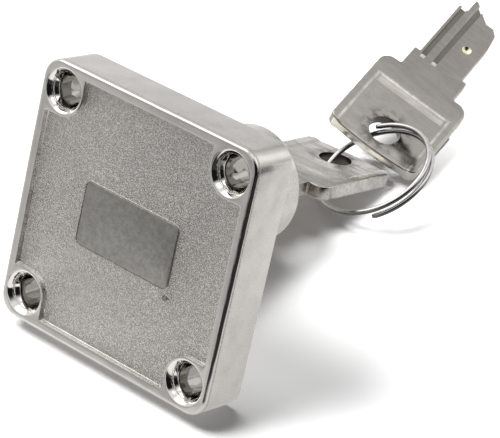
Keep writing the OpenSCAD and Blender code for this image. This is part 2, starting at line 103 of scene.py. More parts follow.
def joint(name: str) -> dict:
    """Gives one joint of the frame's record.

    Args:
        name: The joint's name.

    Returns:
        The joint's entry.
    """
    joints = frame["record"]["behaviour"]["joints"]
    return next(entry for entry in joints if entry["name"] == name)


def joint_place(name: str) -> Array:
    """Gives a point of a joint's axis, in metres."""
    return np.array(joint(name)["pos_m"])


@dataclass(frozen=True)
class LockFrame:
    """The lock's own frame: across and down its back face, and out along its cylinder.

    Its origin is where the cylinder's axis meets the mounting face.
    """

    out: Array = field(
        default_factory=lambda: np.array(joint("plug_turn")["axis"], dtype=float)
    )

    @property
    def across(self) -> Array:
        """The direction to the right, seen from the lock's back."""
        return np.array([1.0, 0.0, 0.0])

    @property
    def down(self) -> Array:
        """The direction down the back face."""
        return np.cross(self.out, self.across)

    def place(self, points: Array) -> Array:
        """Carries points of the lock's frame into the scene.

        Args:
            points: Rows of across, down and out, in millimetres.

        Returns:
            Rows of x, y and z, in metres.
        """
        return points @ np.stack([self.across, self.down, self.out]) * MM

    def own(self, points: Array) -> Array:
        """Carries points of the scene, in metres, into the lock's frame, in millimetres."""
        return points / MM @ np.stack([self.across, self.down, self.out]).T


LOCK = LockFrame()


def unit(direction: Triple) -> Array:
    """Gives a direction the length 1."""
    return np.array(direction) / np.linalg.norm(direction)


# Meshes


def new_object(name: str, vertices: Array, faces: Array) -> bpy.types.Object:
    """Makes a mesh object at the origin.

    Args:
        name: The object's name.
        vertices: Rows of x, y and z, in metres.
        faces: Rows of vertex numbers, three or four in each.

    Returns:
        The new object, linked to the scene.
    """
    mesh = bpy.data.meshes.new(name)
    mesh.from_pydata(vertices.tolist(), [], faces.tolist())
    mesh.update()
    made = bpy.data.objects.new(name, mesh)
    bpy.context.scene.collection.objects.link(made)
    return made


def smooth(made: bpy.types.Object, crease: float) -> None:
    """Shades a mesh smooth, with creases above an angle.

    Args:
        made: The mesh object.
        crease: The least angle of a crease, in degrees.
    """
    mesh = made.data
    mesh.polygons.foreach_set("use_smooth", np.ones(len(mesh.polygons), dtype=bool))
    mesh.set_sharp_from_angle(angle=math.radians(crease))
    mesh.update()


def middle_of(edge: bmesh.types.BMEdge) -> Array:
    """Gives the middle of an edge, in metres."""
    return np.array(sum((vertex.co for vertex in edge.verts), Vector())) / 2


def rounded(made: bpy.types.Object, width: float, segments: int) -> bpy.types.Mesh:
    """Rounds an object's weighted edges and cleans the mesh that comes of it.

    Args:
        made: The object.
        width: The rounding's width, in millimetres.
        segments: The number of faces across the rounding.

    Returns:
        The finished mesh.
    """
    bevel = made.modifiers.new("rounded edges", "BEVEL")
    bevel.width = width * MM
    bevel.segments = segments
    bevel.limit_method = "WEIGHT"
    bevel.use_clamp_overlap = False
    bevel.miter_outer = "MITER_ARC"
    depsgraph = bpy.context.evaluated_depsgraph_get()
    finished = bpy.data.meshes.new_from_object(made.evaluated_get(depsgraph))
    made.modifiers.clear()
    skin = bmesh.new()
    skin.from_mesh(finished)
    bmesh.ops.remove_doubles(skin, verts=skin.verts, dist=WELD)
    bmesh.ops.dissolve_degenerate(skin, edges=skin.edges, dist=WELD)
    skin.to_mesh(finished)
    skin.free()
    return finished


def softened_copy(
    node: str,
    width: float,
    segments: int,
    weigh: Weigher = lambda edge: 1.0,
    shape: Shaper = lambda skin: None,
    sharp: float = 25.0,
    flat: float = 0.5,
    crease: float = 32.0,
) -> bpy.types.Object:
    """Copies a CAD node as one joined skin whose sharp edges are rounded.

    Args:
        node: The CAD node's name.
        width: The rounding's width, in millimetres.
        segments: The number of faces across the rounding.
        weigh: Gives the share of the width that a sharp edge gets.
        shape: Works on the joined skin before its edges are rounded.
        sharp: The least angle of an edge that is rounded, in degrees.
        flat: The angle under which triangles join into one face, in degrees.
        crease: The least angle that still shows as a crease, in degrees.

    Returns:
        The new object, which replaces the node.
    """
    mesh = bpy.data.objects[node].data.copy()
    skin = bmesh.new()
    skin.from_mesh(mesh)
    bmesh.ops.remove_doubles(skin, verts=skin.verts, dist=WELD)
    bmesh.ops.dissolve_limit(
        skin,
        angle_limit=math.radians(flat),
        use_dissolve_boundaries=False,
        verts=skin.verts,
        edges=skin.edges,
    )
    shape(skin)
    share = skin.edges.layers.float.new("bevel_weight_edge")
    skin.normal_update()
    for edge in skin.edges:
        if edge.calc_face_angle(0.0) > math.radians(sharp):
            edge[share] = weigh(edge)
    skin.to_mesh(mesh)
    skin.free()
    mesh.materials.clear()
    made = bpy.data.objects.new(f"{node}_skin", mesh)
    bpy.context.scene.collection.objects.link(made)
    made.data = rounded(made, width, segments)
    made.data.name = made.name
    smooth(made, crease)
    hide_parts(node)
    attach(made, body_of(bpy.data.objects[node])[0])
    return made


# Materials


@dataclass(frozen=True)
class Noise:
    """A noise over a surface: how many patches a millimetre has, and how fine they break up."""

    per_mm: float
    detail: float
    roughness: float = 0.5


class Graph:
    """A short hand for building one node tree."""

    def __init__(self, tree: bpy.types.NodeTree, coordinates: str) -> None:
        """Empties the tree.

        Args:
            tree: The tree to build in.
            coordinates: The texture coordinates it works on.
        """
        self.tree = tree
        tree.nodes.clear()
        self.coordinates = self.node("ShaderNodeTexCoord").outputs[coordinates]

    def node(self, kind: str, **settings: object) -> bpy.types.Node:
        """Adds a node.

        Args:
            kind: The node's type.
            settings: Attributes to set on it.

        Returns:
            The node.
        """
        made = self.tree.nodes.new(kind)
        for key, value in settings.items():
            setattr(made, key, value)
        return made

    def feed(self, socket: Socket, value: object) -> None:
        """Links an output to a socket, or sets the socket's own value.

        Args:
            socket: The socket that is fed.
            value: The output, or the value.
        """
        if isinstance(value, Socket):
            self.tree.links.new(value, socket)
        else:
            socket.default_value = value

    def maths(self, operation: str, *values: Value) -> Socket:
        """Gives the result of a maths node.

        Args:
            operation: The node's operation.
            values: What it works on.

        Returns:
            The result.
        """
        made = self.node("ShaderNodeMath", operation=operation)
        for socket, value in zip(made.inputs, values):
            self.feed(socket, value)
        return made.outputs[0]

    def product(self, first: Value, *others: Value) -> Value:
        """Multiplies values, one after another.

        Args:
            first: The first value.
            others: The others.

        Returns:
            Their product.
        """
        for other in others:
            first = self.maths("MULTIPLY", first, other)
        return first

    def distance(self, first: Value, second: Value) -> Socket:
        """Gives how far two ways at right angles lead together: the root of their squares."""
        squares = (self.product(first, first), self.product(second, second))
        return self.maths("SQRT", self.maths("ADD", *squares))

    def dot(self, vector: Socket, direction: Array) -> Socket:
        """Gives the scalar product of a vector and a direction.

        Args:
            vector: The vector.
            direction: The direction.

        Returns:
            The product.
        """
        made = self.node("ShaderNodeVectorMath", operation="DOT_PRODUCT")
        self.feed(made.inputs[0], vector)
        made.inputs[1].default_value = tuple(float(v) for v in direction)
        return made.outputs["Value"]

    def along(self, direction: Array, scale: float = 1 / MM) -> Socket:
        """Gives how far a point lies along a direction, in millimetres if not scaled otherwise."""
        return self.dot(self.coordinates, direction * scale)

    def noise(self, kind: Noise) -> Socket:
        """Gives a noise over the surface, from 0 to 1."""
        return self.noise_at(self.coordinates, kind.per_mm / MM, kind)

    def noise_at(self, place: Socket, scale: float, kind: Noise) -> Socket:
        """Gives a noise's value at a place.

        Args:
            place: The place.
            scale: The number of patches in a unit of the place.
            kind: What the noise is like.

        Returns:
            Its value, from 0 to 1.
        """
        made = self.node("ShaderNodeTexNoise")
        self.feed(made.inputs["Vector"], place)
        made.inputs["Scale"].default_value = scale
        made.inputs["Detail"].default_value = kind.detail
        made.inputs["Roughness"].default_value = kind.roughness
        return made.outputs["Fac"]

    def streaks(self, along: Array, across: Array, kind: Noise, stretch: float) -> Socket:
        """Gives a noise drawn out along one direction, fine across it.

        Args:
            along: The direction it is drawn out along.
            across: A direction across that.
            kind: What the noise is like across the streaks.
            stretch: How many times as long as wide a streak is.

        Returns:
            Its value, from 0 to 1.
        """
        parts = self.node("ShaderNodeCombineXYZ")
        fine = kind.per_mm / MM
        ways = ((along, fine / stretch), (across, fine), (np.cross(along, across), fine))
        for socket, (way, scale) in zip(parts.inputs, ways):
            self.feed(socket, self.along(way, scale))
        return self.noise_at(parts.outputs[0], 1.0, kind)

    def ramp(self, value: Value, span: Span, ends: tuple[Value, Value] = (0.0, 1.0)) -> Socket:
        """Carries a value smoothly from one end to another over a span.

        Args:
            value: The value.
            span: Where the change starts and where it is complete.
            ends: What comes out before the span and after it.

        Returns:
            The carried value.
        """
        made = self.node("ShaderNodeMapRange", interpolation_type="SMOOTHSTEP")
        self.feed(made.inputs["Value"], value)
        for key, number in zip(("From Min", "From Max", "To Min", "To Max"), (*span, *ends)):
            self.feed(made.inputs[key], number)
        return made.outputs["Result"]

    def under(self, value: Value, edge: float, blur: float) -> Socket:
        """Gives 1 where a value lies under an edge, and 0 once it is past it by a blur."""
        return self.ramp(value, (edge, edge + blur), (1.0, 0.0))

    def blend(self, share: Value, first: Paint, second: Paint) -> Socket:
        """Mixes two colours.

        Args:
            share: The second colour's share.
            first: The first colour.
            second: The second colour.

        Returns:
            The mixed colour.
        """
        made = self.node("ShaderNodeMix", data_type="RGBA")
        self.feed(made.inputs["Factor"], share)
        for key, value in (("A", first), ("B", second)):
            socket = next(s for s in made.inputs if s.name == key and s.type == "RGBA")
            self.feed(socket, (*value, 1.0) if isinstance(value, tuple) else value)
        return next(s for s in made.outputs if s.type == "RGBA")

    def layered(self, base: Paint, *layers: tuple[Value, Paint]) -> Paint:
        """Lays colours over a base, one after another.

        Args:
            base: The colour underneath.
            layers: Each layer's share and its colour.

        Returns:
            The colour that comes of it.
        """
        for share, colour in layers:
            base = self.blend(share, base, colour)
        return base


class Shader(Graph):
    """A node material with a surface shader."""

    def __init__(self, name: str) -> None:
        """Starts the material.

        Args:
            name: The material's name.
        """
        self.material = bpy.data.materials.new(name)
        self.material.use_nodes = True
        super().__init__(self.material.node_tree, "Object")
        self.surface = self.node("ShaderNodeBsdfPrincipled")
        output = self.node("ShaderNodeOutputMaterial")
        self.feed(output.inputs["Surface"], self.surface.outputs[0])

    def normal(self, kind: str = "Normal") -> Socket:
        """Gives the surface's normal, or with True Normal that of the face."""
        return self.node("ShaderNodeNewGeometry").outputs[kind]

    def relief(self, *layers: tuple[Value, float]) -> Socket:
        """Gives a normal raised by heights, one after another.

        Args:
            layers: Each height, from 0 to 1, and what 1 is, in millimetres.

        Returns:
            The normal.
        """
        raised = None
        for height, depth in layers:
            made = self.node("ShaderNodeBump")
            made.inputs["Distance"].default_value = depth * MM
            self.feed(made.inputs["Height"], height)
            if raised is not None:
                self.feed(made.inputs["Normal"], raised)
            raised = made.outputs["Normal"]
        return raised

    def as_metal(self, colour: Paint, rough: Value, normal: Socket) -> None:
        """Makes the surface a metal.

        Args:
            colour: Its colour.
            rough: Its roughness.
            normal: Its normal.
        """
        inputs = self.surface.inputs
        inputs["Metallic"].default_value = 1.0
        for key, value in (("Base Color", colour), ("Roughness", rough), ("Normal", normal)):
            self.feed(inputs[key], value)

    def dress(self, made: bpy.types.Object) -> None:
        """Puts the material on an object, in place of what it has.

        Args:
            made: The object.
        """
        slots = made.material_slots
        if not slots:
            made.data.materials.append(self.material)
        for place in slots:
            place.material = self.material


@dataclass(frozen=True)
class Metal:
    """A plain metal finish: its colour, its gloss, its stains and its fine relief."""

    name: str
    colour: Colour
    stain: Colour
    rough: float
    rough_spread: float
    patches_per_mm: float
    relief_per_mm: float
    relief_depth: float
    patch_detail: float = 4.0
    patch_break: float = 0.6
    relief_detail: float = 3.0
    relief_break: float = 0.55
    stain_span: Span = (0.35, 0.75)
    rough_span: Span = (0.3, 0.7)

    def shader(self) -> Shader:
        """Builds the finish.

        Returns:
            The shader, with its colour, roughness and normal linked.
        """
        made = Shader(self.name)
        patches = made.noise(Noise(self.patches_per_mm, self.patch_detail, self.patch_break))
        stained = made.ramp(patches, self.stain_span)
        fine = made.noise(Noise(self.relief_per_mm, self.relief_detail, self.relief_break))
        ends = (self.rough - self.rough_spread, self.rough + self.rough_spread)
        made.as_metal(
            made.blend(stained, self.colour, self.stain),
            made.ramp(fine, self.rough_span, ends),
            made.relief((fine, self.relief_depth)),
        )
        return made


@dataclass(frozen=True)
class CaseRegions:
    """A point's ways across and down the case's back, and the case's regions.

    A region is 1 on itself and 0 elsewhere.
    """

    across: Socket
    down: Socket
    floor: Socket
    pad: Socket
    wall: Socket
    hole: Socket
    bore: Socket


@dataclass(frozen=True)
class CaseNickel:
    """The case's nickel: satin, grained in the sunk panel, bright in the holes.

    Its lengths are in millimetres, in the lock's frame; facing is the cosine
    between a face's normal and the direction out of the back.
    """

    colour: Colour = (0.70, 0.675, 0.64)
    stain: Colour = (0.62, 0.60, 0.57)
    panel_colour: Colour = (0.76, 0.735, 0.695)
    # Painted shade: the grain's valleys are darker, as if the grain shaded itself.
    painted_valley_shade: Colour = (0.26, 0.25, 0.23)
    wall_colour: Colour = (0.90, 0.88, 0.84)
    hole_colour: Colour = (0.90, 0.88, 0.84)
    bore_colour: Colour = (0.42, 0.405, 0.38)
    # Painted sheen: lighter towards the left of the back, where the reflection is brighter.
    painted_sheen_colour: Colour = (0.98, 0.95, 0.90)
    # Painted shade on the case's top side.
    painted_top_shade_colour: Colour = (0.50, 0.485, 0.48)
    pad_colour: Colour = (0.31, 0.30, 0.28)
    pad_stain: Colour = (0.45, 0.435, 0.41)

    rim_out: float = -8.0
    panel_out: float = -7.1
    pad_out: float = -7.3
    level_play: float = 0.06
    wall_half: float = 0.36
    middle_across: float = 6.4
    half: float = 20.0
    inside: float = 18.75
    pad_half: float = 10.0
    boss_at: float = 15.75
    hole_r: float = 3.33
    hole_blur: float = 0.06
    bore_r: float = 2.24
    bore_blur: float = 0.04

    # How far the painted sheen lightens the left of the back.
    painted_sheen: float = 0.42
    painted_sheen_span: Span = (-19.0, 8.0)
    # Painted shade: how much darker the top side is.
    painted_top_shade: float = 0.3
    top_depths: Span = (0.02, 0.1)
    painted_valley_shade_share: float = 0.65
    grain_span: Span = (0.28, 0.72)
    stain_span: Span = (0.4, 0.75)
    pad_span: Span = (0.30, 0.70)
    pit_span: Span = (0.74, 0.78)

    grain: Noise = Noise(5.6, 2.2, 0.55)
    fine: Noise = Noise(9.0, 2.0)
    wave: Noise = Noise(0.22, 1.0, 0.4)
    patches: Noise = Noise(0.35, 5.0, 0.65)
    pad_patches: Noise = Noise(1.1, 5.0, 0.8)
    pits: Noise = Noise(1.4, 1.0, 0.3)
    turning: Noise = Noise(0.3, 1.0, 0.4)
    wave_depth: float = 0.25
    fine_depth: float = 0.006
    pit_depth: float = 0.02
    grain_depth: float = 0.095
    turning_depth: float = 0.5
    pad_depth: float = 0.022

    back_facing: Span = (0.2, 0.8)
    fillet_rise: Span = (0.04, 0.12)
    fillet_fall: Span = (0.96, 0.995)
    rim_rough: float = 0.30
    panel_rough: float = 0.20
    side_rough: float = 0.24
    bright_rough: float = 0.05
    fine_rough: float = 0.06

    def shader(self) -> Shader:
        """Builds the finish, with its regions told apart in the lock's frame.

        Returns:
            The shader.
        """
        made = Shader("case nickel")
        where = self.regions(made)
        grain = made.ramp(made.noise(self.grain), self.grain_span)
        fine = made.noise(self.fine)
        made.as_metal(
            self.painted(made, where, grain),
            self.roughness(made, where, fine),
            self.raised(made, where, grain, fine),
        )
        return made

    def regions(self, made: Shader) -> CaseRegions:
        """Tells the case's regions apart by a point's place.

        Args:
            made: The shader.

        Returns:
            The regions.
        """
        out = made.along(LOCK.out)
        across = made.maths("SUBTRACT", made.along(LOCK.across), self.middle_across)
        down = made.along(LOCK.down)
        asides = [made.maths("ABSOLUTE", way) for way in (across, down)]
        from_hole = made.distance(*(made.maths("SUBTRACT", way, self.boss_at) for way in asides))
        hole = made.under(from_hole, self.hole_r, self.hole_blur)
        widest = made.maths("MAXIMUM", *asides)
        wall = made.product(
            made.maths("COMPARE", out, (self.rim_out + self.panel_out) / 2, self.wall_half),
            made.maths("LESS_THAN", widest, self.inside),
            made.maths("GREATER_THAN", widest, self.pad_half),
            made.maths("SUBTRACT", 1.0, hole),
        )
        return CaseRegions(
            across=across,
            down=down,
            floor=made.maths("COMPARE", out, self.panel_out, self.level_play),
            pad=made.maths("COMPARE", out, self.pad_out, self.level_play),
            wall=wall,
            hole=hole,
            bore=made.under(from_hole, self.bore_r, self.bore_blur),
        )

    def painted(self, made: Shader, where: CaseRegions, grain: Socket) -> Socket:
        """Gives the colour: stained nickel, with each region's own laid over it, painted shade in
        the grain's valleys and on the top side, and a painted sheen towards the left.

        Args:
            made: The shader.
            where: The case's regions.
            grain: The height of the panel's grain.

        Returns:
            The colour.
        """
        stained = made.ramp(made.noise(self.patches), self.stain_span)
        # Painted shade in the grain's valleys.
        valleys = made.ramp(grain, (0.0, 1.0), (self.painted_valley_shade_share, 0.0))
        # Painted sheen: the case grows lighter towards the left.
        left_sheen = made.ramp(where.across, self.painted_sheen_span, (self.painted_sheen, 0.0))
        # Painted shade: the case's top side is darker.
        top = tuple(depth - self.half for depth in self.top_depths)
        top_shade = made.ramp(where.down, top, (self.painted_top_shade, 0.0))
        dusky = made.ramp(made.noise(self.pad_patches), self.pad_span)
        return made.layered(
            made.blend(stained, self.colour, self.stain),
            (where.floor, made.blend(valleys, self.panel_colour, self.painted_valley_shade)),
            (left_sheen, self.painted_sheen_colour),
            (top_shade, self.painted_top_shade_colour),
            (where.pad, made.blend(dusky, self.pad_colour, self.pad_stain)),
            (where.wall, self.wall_colour),
            (where.hole, self.hole_colour),
            (where.bore, self.bore_colour),
        )

    def roughness(self, made: Shader, where: CaseRegions, fine: Socket) -> Socket:
        """Gives the roughness: satin, and bright in the holes, on the walls and the fillets.

        Args:
            made: The shader.
            where: The case's regions.
            fine: The height of the finest relief.

        Returns:
            The roughness.
        """
        facing = made.dot(made.normal("True Normal"), -LOCK.out)
        back = made.ramp(facing, self.back_facing)
        fillet = made.product(
            made.ramp(facing, self.fillet_rise),
            made.ramp(facing, self.fillet_fall, (1.0, 0.0)),
        )
        rough = made.ramp(back, (0.0, 1.0), (self.side_rough, self.rim_rough))
        rough = made.maths("ADD", rough, made.product(fine, self.fine_rough))
        smoother = made.product(where.floor, self.panel_rough - self.rim_rough)
        rough = made.maths("ADD", rough, smoother)
        bright = made.maths("MAXIMUM", made.maths("MAXIMUM", where.hole, fillet), where.wall)
        return made.ramp(bright, (0.0, 1.0), (rough, self.bright_rough))

    def raised(self, made: Shader, where: CaseRegions, grain: Socket, fine: Socket) -> Socket:
        """Gives the normal: waves, fine relief and pits, the grain and the turned holes.

        Args:
            made: The shader.
            where: The case's regions.
            grain: The height of the panel's grain.
            fine: The height of the finest relief.

        Returns:
            The normal.
        """
        outside_holes = made.maths("SUBTRACT", 1.0, where.hole)
        pits = made.ramp(made.noise(self.pits), self.pit_span)
        return made.relief(
            (made.noise(self.wave), self.wave_depth),
            (made.product(fine, outside_holes), self.fine_depth),
            (made.product(pits, where.floor), self.pit_depth),
            (made.product(grain, where.floor), self.grain_depth),
            (made.product(made.noise(self.turning), where.hole), self.turning_depth),
            (made.product(grain, where.pad), self.pad_depth),
        )


@dataclass(frozen=True)
class KeyWays:
    """A point's place in a key's own frame, in millimetres.

    Aside is its way from the key's middle line, under its depth below the
    nearer of the two faces.
    """

    along: Socket
    across: Socket
    aside: Socket
    under: Socket


@dataclass(frozen=True)
class KeyNickel:
    """A key's nickel, worn to brass where the key was cut, dark in its grooves.

    Its lengths are in millimetres, in the key's own frame.
    """

    name: str
    key: "Key"
    stain: Colour = (0.370, 0.345, 0.318)
    brass: Colour = (1.0, 0.95, 0.70)
    pale_brass: Colour = (1.0, 0.985, 0.90)
    groove_colour: Colour = (0.235, 0.220, 0.200)
    run_out_colour: Colour = (0.78, 0.75, 0.72)
    # Rubbed nickel and a painted highlight along the bow's creases.
    rubbed_and_highlight_colour: Colour = (0.84, 0.82, 0.79)
    # Painted shade: the key's hole wall is dark.
    hole_colour: Colour = (0.10, 0.09, 0.08)
    # Darker smudges round the hole.
    hole_smudge_colour: Colour = (0.15, 0.135, 0.12)

    scratch_lengthwise: float = 0.37
    scratch_sideways: float = 0.93
    scratch_stretch: float = 9.0
    scratch_span: Span = (0.42, 0.62)
    scratch_share: float = 0.35
    patch_span: Span = (0.4, 0.72)
    patch_share: float = 0.35
    neck_share: float = 0.6
    scratches: Noise = Noise(1.5, 3.0)
    patches: Noise = Noise(0.45, 4.0, 0.6)
    smudges: Noise = Noise(0.7, 3.0, 0.6)
    fine: Noise = Noise(5.0, 3.0, 0.6)
    wave: Noise = Noise(0.3, 1.0, 0.4)

    groove_from: float = 21.0
    groove_blur: float = 0.4
    groove_edge: Span = (0.3, 0.2)
    groove_depths: Span = (0.10, 0.14)
    run_out_at: float = 21.75
    run_out_half: float = 0.55
    run_out_depth: float = 0.03
    face_depths: Span = (0.3, 0.36)
    # The band of rubbed nickel and painted highlight along the bow's creases.
    crease_band_past: float = 0.2
    crease_band_beside: float = 0.22
    crease_band_before: float = 0.26
    rubbed_and_highlight_span: Span = (0.3, 0.6)
    rubbed_and_highlight_shares: Span = (0.9, 0.3)
    hole_smudge_span: Span = (0.42, 0.58)
    hole_smudge_share: float = 0.8
    hole_smudge_reach: Span = (0.2, 2.6)
    hole_reach: Span = (0.02, 0.06)
    bow_span: Span = (4.0, 5.0)
    brass_span: Span = (-3.4, -2.2)
    tip_brass_span: Span = (0.4, 1.2)

    rough_span: Span = (0.35, 0.7)
    roughs: Span = (0.19, 0.31)
    fine_rough: float = 0.05
    wave_depth: float = 0.12
    scratch_depth: float = 0.02
    fine_depth: float = 0.005

    def shader(self) -> Shader:
        """Builds the finish; the mesh's own bare attribute says where brass shows.

        Returns:
            The shader.
        """
        made = Shader(self.name)
        where = self.ways(made)
        patches = made.noise(self.patches)
        fine = made.noise(self.fine)
        lengthwise, sideways = self.key.lengthwise, self.key.sideways
        way = self.scratch_sideways * sideways + self.scratch_lengthwise * lengthwise
        scratches = made.streaks(way, lengthwise, self.scratches, self.scratch_stretch)
        rough = made.ramp(scratches, self.rough_span, self.roughs)
        made.as_metal(
            self.bared(made, where, self.painted(made, where, scratches, patches)),
            made.maths("ADD", rough, made.product(fine, self.fine_rough)),
            made.relief(
                (made.noise(self.wave), self.wave_depth),
                (scratches, self.scratch_depth),
                (fine, self.fine_depth),
            ),
        )
        return made

    def ways(self, made: Shader) -> KeyWays:
        """Carries a point's place into the key's own frame.

        Args:
            made: The shader.

        Returns:
            The place.
        """
        key = self.key
        along, across, height = (
            made.maths("SUBTRACT", made.along(way), float(key.hole @ way) / MM)
            for way in (key.lengthwise, key.sideways, key.outwards)
        )
        return KeyWays(
            along=made.maths("ADD", along, key.hole_at),
            across=across,
            aside=made.maths("ABSOLUTE", across),
            under=made.maths("SUBTRACT", key.thickness / 2, made.maths("ABSOLUTE", height)),
        )

    def painted(self, made: Shader, where: KeyWays, scratches: Socket, patches: Socket) -> Socket:
        """Gives the nickel's colour: worn, dark in grooves, painted shade in the hole, darker in
        smudges round it, rubbed and with a painted highlight on the borders.

        Args:
            made: The shader.
            where: A point's place in the key's frame.
            scratches: The height of the scratches.
            patches: The noise of the stains.

        Returns:
            The colour.
        """
        key = self.key
        reach = made.distance(made.maths("SUBTRACT", where.along, key.hole_at), where.across)
        worn = made.product(made.ramp(scratches, self.scratch_span), self.scratch_share)
        stains = made.ramp(patches, self.patch_span, (0.0, self.patch_share))
        neck = made.ramp(where.along, (key.panel_to, key.blade_from), (0.0, self.neck_share))
        worn = made.maths("ADD", made.maths("ADD", worn, stains), neck)

        groove_ends = (self.groove_from, self.groove_from + self.groove_blur)
        groove_sides = tuple(key.blade_w / 2 - edge for edge in self.groove_edge)
        in_blade = made.product(
            made.ramp(where.along, groove_ends),
            made.ramp(where.aside, groove_sides, (1.0, 0.0)),
        )
        sunk = made.ramp(where.under, self.groove_depths)
        run_out = made.product(
            made.maths("COMPARE", where.along, self.run_out_at, self.run_out_half),
            made.ramp(where.under, (0.0, self.run_out_depth)),
            in_blade,
        )
        # Darker in smudges round the hole.
        hole_smudges = made.product(
            made.ramp(made.noise(self.smudges), self.hole_smudge_span),
            made.ramp(reach, self.around(self.hole_smudge_reach), (self.hole_smudge_share, 0.0)),
        )
        # Painted shade: the hole's wall is dark, as the shade inside it.
        painted_hole_shade = made.ramp(reach, self.around(self.hole_reach), (1.0, 0.0))
        return made.layered(
            made.blend(worn, key.nickel, self.stain),
            (made.product(in_blade, sunk), self.groove_colour),
            (run_out, self.run_out_colour),
            (self.rubbed_and_highlight(made, where, patches), self.rubbed_and_highlight_colour),
            (hole_smudges, self.hole_smudge_colour),
            (painted_hole_shade, self.hole_colour),
        )

    def around(self, reach: Span) -> Span:
        """Gives a span of ways past the hole's edge as ways from its middle."""
        return self.key.hole_r + reach[0], self.key.hole_r + reach[1]

    def rubbed_and_highlight(self, made: Shader, where: KeyWays, patches: Socket) -> Socket:
        """Gives the share of rubbed nickel and painted highlight: on the creases of the bow's
        borders and shoulder.

        Args:
            made: The shader.
            where: A point's place in the key's frame.
            patches: The noise of the stains.

        Returns:
            The share.
        """
        key = self.key
        beside = made.product(
            made.maths("LESS_THAN", where.along, key.panel_to + self.crease_band_past),
            made.maths("COMPARE", where.aside, key.panel_half, self.crease_band_beside),
        )
        before = made.product(
            made.maths("LESS_THAN", where.aside, key.panel_half + self.crease_band_past),
            made.maths("COMPARE", where.along, key.panel_to, self.crease_band_before),
        )
        return made.product(
            made.maths("MAXIMUM", beside, before),
            made.ramp(patches, self.rubbed_and_highlight_span, self.rubbed_and_highlight_shares),
            made.ramp(where.under, self.face_depths, (1.0, 0.0)),
        )

    def bared(self, made: Shader, where: KeyWays, nickel: Socket) -> Socket:
        """Lays bare brass over the nickel, paler on the bow.

        Args:
            made: The shader.
            where: A point's place in the key's frame.
            nickel: The nickel's colour.

        Returns:
            The colour.
        """
        bare = made.node("ShaderNodeAttribute", attribute_name="bare").outputs["Fac"]
        on_bow = made.ramp(where.along, self.bow_span, (1.0, 0.0))
        end = made.ramp(where.across, self.brass_span)
        tip = made.ramp(where.across, self.tip_brass_span, (1.0, 0.0))
        share = made.product(bare, made.ramp(on_bow, (0.0, 1.0), (tip, end)))
        return made.blend(share, nickel, made.blend(on_bow, self.brass, self.pale_brass))


class Finish(Enum):
    """The plain metals of the lock's other pieces."""

    HOUSING = Metal(
        "housing nickel", (0.68, 0.66, 0.63), (0.60, 0.58, 0.55), 0.26, 0.05, 0.4, 4.0, 0.006
    )
    RIVET = Metal(
        "rivet steel", (0.52, 0.52, 0.52), (0.42, 0.42, 0.43), 0.34, 0.06, 0.9, 5.0, 0.01
    )
    PLUG = Metal(
        "plug nickel", (0.70, 0.66, 0.58), (0.62, 0.55, 0.42), 0.24, 0.05, 0.6, 4.0, 0.005
    )
    CAM = Metal(
        "cam steel", (0.50, 0.50, 0.51), (0.40, 0.40, 0.41), 0.38, 0.06, 0.7, 4.0, 0.01
    )
    BOLT = Metal(
        "bolt nickel", (0.62, 0.61, 0.59), (0.54, 0.53, 0.51), 0.25, 0.05, 0.4, 4.0, 0.006
    )
    WAFER = Metal(
        "wafer brass", (0.80, 0.62, 0.30), (0.66, 0.48, 0.22), 0.32, 0.06, 0.8, 6.0, 0.006
    )
    SPRING = Metal(
        "spring wire", (0.58, 0.58, 0.60), (0.46, 0.46, 0.48), 0.25, 0.05, 1.2, 8.0, 0.004
    )
    RING = Metal(
        "ring steel", (0.72, 0.71, 0.70), (0.60, 0.59, 0.57), 0.13, 0.04, 0.8, 8.0, 0.003
    )


# The lock's pieces


@dataclass
class CaseShell:
    """The die-cast case, its edges as soft as a casting's.

    Its lengths are in millimetres; fuller is how many times the back's outer
    rounding grows.
    """

    edge: float = 0.34
    segments: int = 2
    other_edges: float = 0.6
    half: float = 20.0
    corner_r: float = 3.2
    boss_r: float = 3.75
    boss_margin: float = 0.3
    back_out: float = -8.0
    fillet: float = 0.4
    fuller: float = 1.35
    play: float = 0.01
    finish: CaseNickel = field(default_factory=CaseNickel)

    def build(self) -> bpy.types.Object:
        """Makes the case from its node and dresses it.

        Returns:
            The case.
        """
        made = softened_copy("case", self.edge, self.segments, self.weigh)
        self.fill_rounding(made.data)
        self.finish.shader().dress(made)
        return made

    def weigh(self, edge: bmesh.types.BMEdge) -> float:
        """Gives an edge's share of the rounding: full where the rim meets the panel.

        Args:
            edge: The edge.

        Returns:
            Its share.
        """
        across, down, out = LOCK.own(middle_of(edge))
        ways = np.abs([across - self.finish.middle_across, down])
        from_hole = math.hypot(*(ways - self.finish.boss_at))
        on_back = abs(out - self.back_out) < 2 * self.play
        on_rim = on_back and ways.max() < self.finish.inside
        return 1.0 if on_rim and from_hole > self.boss_r + self.boss_margin else self.other_edges

    def fill_rounding(self, mesh: bpy.types.Mesh) -> None:
        """Makes the rounding of the back's outer edge as full as a casting's.

        A point of the rounding lies so far inside the case's outline and so
        far above its back; both ways grow by one factor, so the arc stays one.

        Args:
            mesh: The case's mesh.
        """
        points = np.empty(3 * len(mesh.vertices))
        mesh.vertices.foreach_get("co", points)
        own = LOCK.own(points.reshape(-1, 3))
        flat = own[:, :2] - [self.finish.middle_across, 0.0]
        beyond = np.abs(flat) - (self.half - self.corner_r)
        past = np.maximum(beyond, 0.0)
        radial = np.linalg.norm(past, axis=1)
        in_corner = (beyond > 0.0).all(axis=1)
        level_way = (beyond == beyond.max(axis=1)[:, None]).astype(float)
        corner_way = past / np.where(in_corner, radial, 1.0)[:, None]
        way = np.where(in_corner[:, None], corner_way, level_way)
        inside = self.corner_r - np.where(in_corner, radial, beyond.max(axis=1))
        above = own[:, 2] - self.back_out
        reach = self.fillet + self.play
        rounding = (inside < reach) & (above < reach)
        shift = np.where(rounding, (self.fuller - 1) * inside, 0.0)[:, None]
        own[:, :2] -= shift * way * np.sign(flat)
        own[:, 2] += np.where(rounding, (self.fuller - 1) * above, 0.0)
        mesh.vertices.foreach_set("co", LOCK.place(own).ravel())
        mesh.update()


